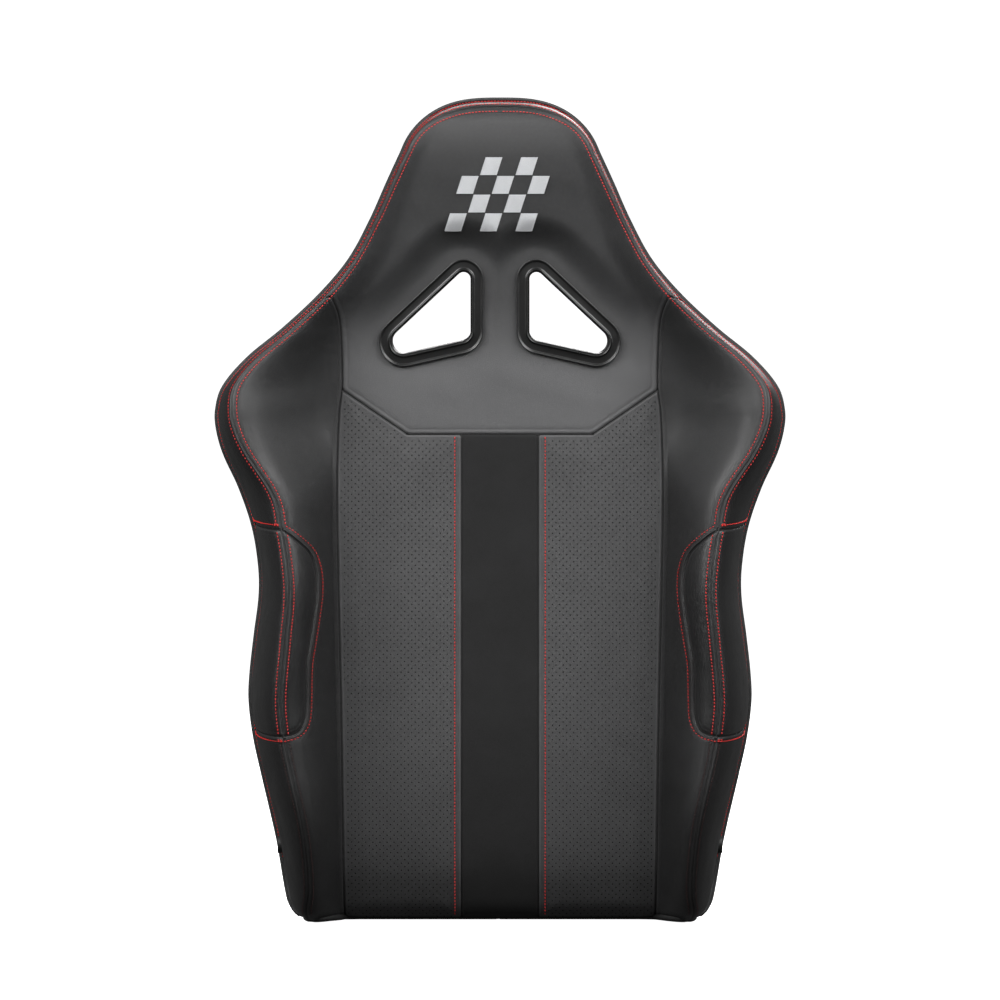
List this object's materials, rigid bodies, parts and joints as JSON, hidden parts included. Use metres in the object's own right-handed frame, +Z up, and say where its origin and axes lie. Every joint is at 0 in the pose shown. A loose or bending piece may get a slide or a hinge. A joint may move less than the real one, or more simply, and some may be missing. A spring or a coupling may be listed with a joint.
{
  "type": "racing seat backrest",
  "caption": "Upholstered backrest of a reclining racing seat with side bolsters, shoulder wings, harness slots and a steel tube frame.",
  "frame": {"origin": "middle of the underside, at the centre of the bounding box in plan", "axes": "+Z up the backrest, -Y the side the sitter leans on, +X across to the right as seen from the front"},
  "size_m": [0.5854, 0.1858, 0.84],
  "materials": {
    "frame_steel": "satin black powder coat",
    "boss_steel": "zinc plated",
    "webbing": "woven elastic webbing",
    "foam": "moulded polyurethane foam, dark grey",
    "leatherette": "fine grained leatherette",
    "perforated_leatherette": "perforated leatherette",
    "suede": "short nap suede",
    "patch_leatherette": "smooth leatherette",
    "silver_thread": "satin stitch embroidery",
    "black_screw": "black oxide",
    "bezel_plastic": "satin moulded plastic",
    "zip_fabric": "woven tape",
    "zip_nylon": "nylon coil",
    "zip_black_metal": "black enamel",
    "zip_metal": "gunmetal",
    "bottom_cloth": "woven lining cloth"
  },
  "bodies": {
    "seat_back": {"frame_hoop": "frame_steel", "shoulder_bar": "frame_steel", "head_bar": "frame_steel", "base_bar": "frame_steel", "wing_rod_left": "frame_steel", "wing_rod_right": "frame_steel", "bolster_wire_left": "frame_steel", "bolster_wire_right": "frame_steel", "side_plate_left": "frame_steel", "side_plate_right": "frame_steel", "bracket_boss_left": "boss_steel", "bracket_boss_right": "boss_steel", "webbing_band_1": "webbing", "webbing_band_2": "webbing", "webbing_band_3": "webbing", "webbing_band_4": "webbing", "webbing_band_5": "webbing", "front_foam": "foam", "rear_foam": "foam", "head_panel": "leatherette", "wing_panel_left": "leatherette", "wing_panel_right": "leatherette", "insert_left": "perforated_leatherette", "insert_right": "perforated_leatherette", "centre_stripe": "suede", "patch_inner_left": "patch_leatherette", "patch_inner_right": "patch_leatherette", "patch_outer_left": "patch_leatherette", "patch_outer_right": "patch_leatherette", "head_boxing": "leatherette", "wing_boxing_left": "leatherette", "wing_boxing_right": "leatherette", "lower_boxing_left": "leatherette", "lower_boxing_right": "leatherette", "back_panel": "leatherette", "lower_back_panel": "leatherette", "bottom_panel": "bottom_cloth", "emblem": "silver_thread", "front_bezel_left": "bezel_plastic", "front_bezel_right": "bezel_plastic", "rear_bezel_left": "bezel_plastic", "rear_bezel_right": "bezel_plastic", "bezel_screws_left": "black_screw", "bezel_screws_right": "black_screw", "zip_tape": "zip_fabric", "zip_coil": "zip_nylon", "zip_stops": "zip_metal"},
    "zip_slider_body": {"zip_slider": "zip_black_metal"},
    "zip_pull_body": {"zip_pull": "zip_metal"}
  },
  "joints": [
    {"name": "zip_slide", "type": "slide", "parent": "seat_back", "child": "zip_slider_body", "axis": [1, 0, 0], "range_m": [0, 0.37]},
    {"name": "zip_pull_hinge", "type": "hinge", "parent": "zip_slider_body", "child": "zip_pull_body", "pos_m": [-0.185, 0.0904, 0.07], "axis": [0, 0, -1], "range_deg": [0, 175]}
  ]
}
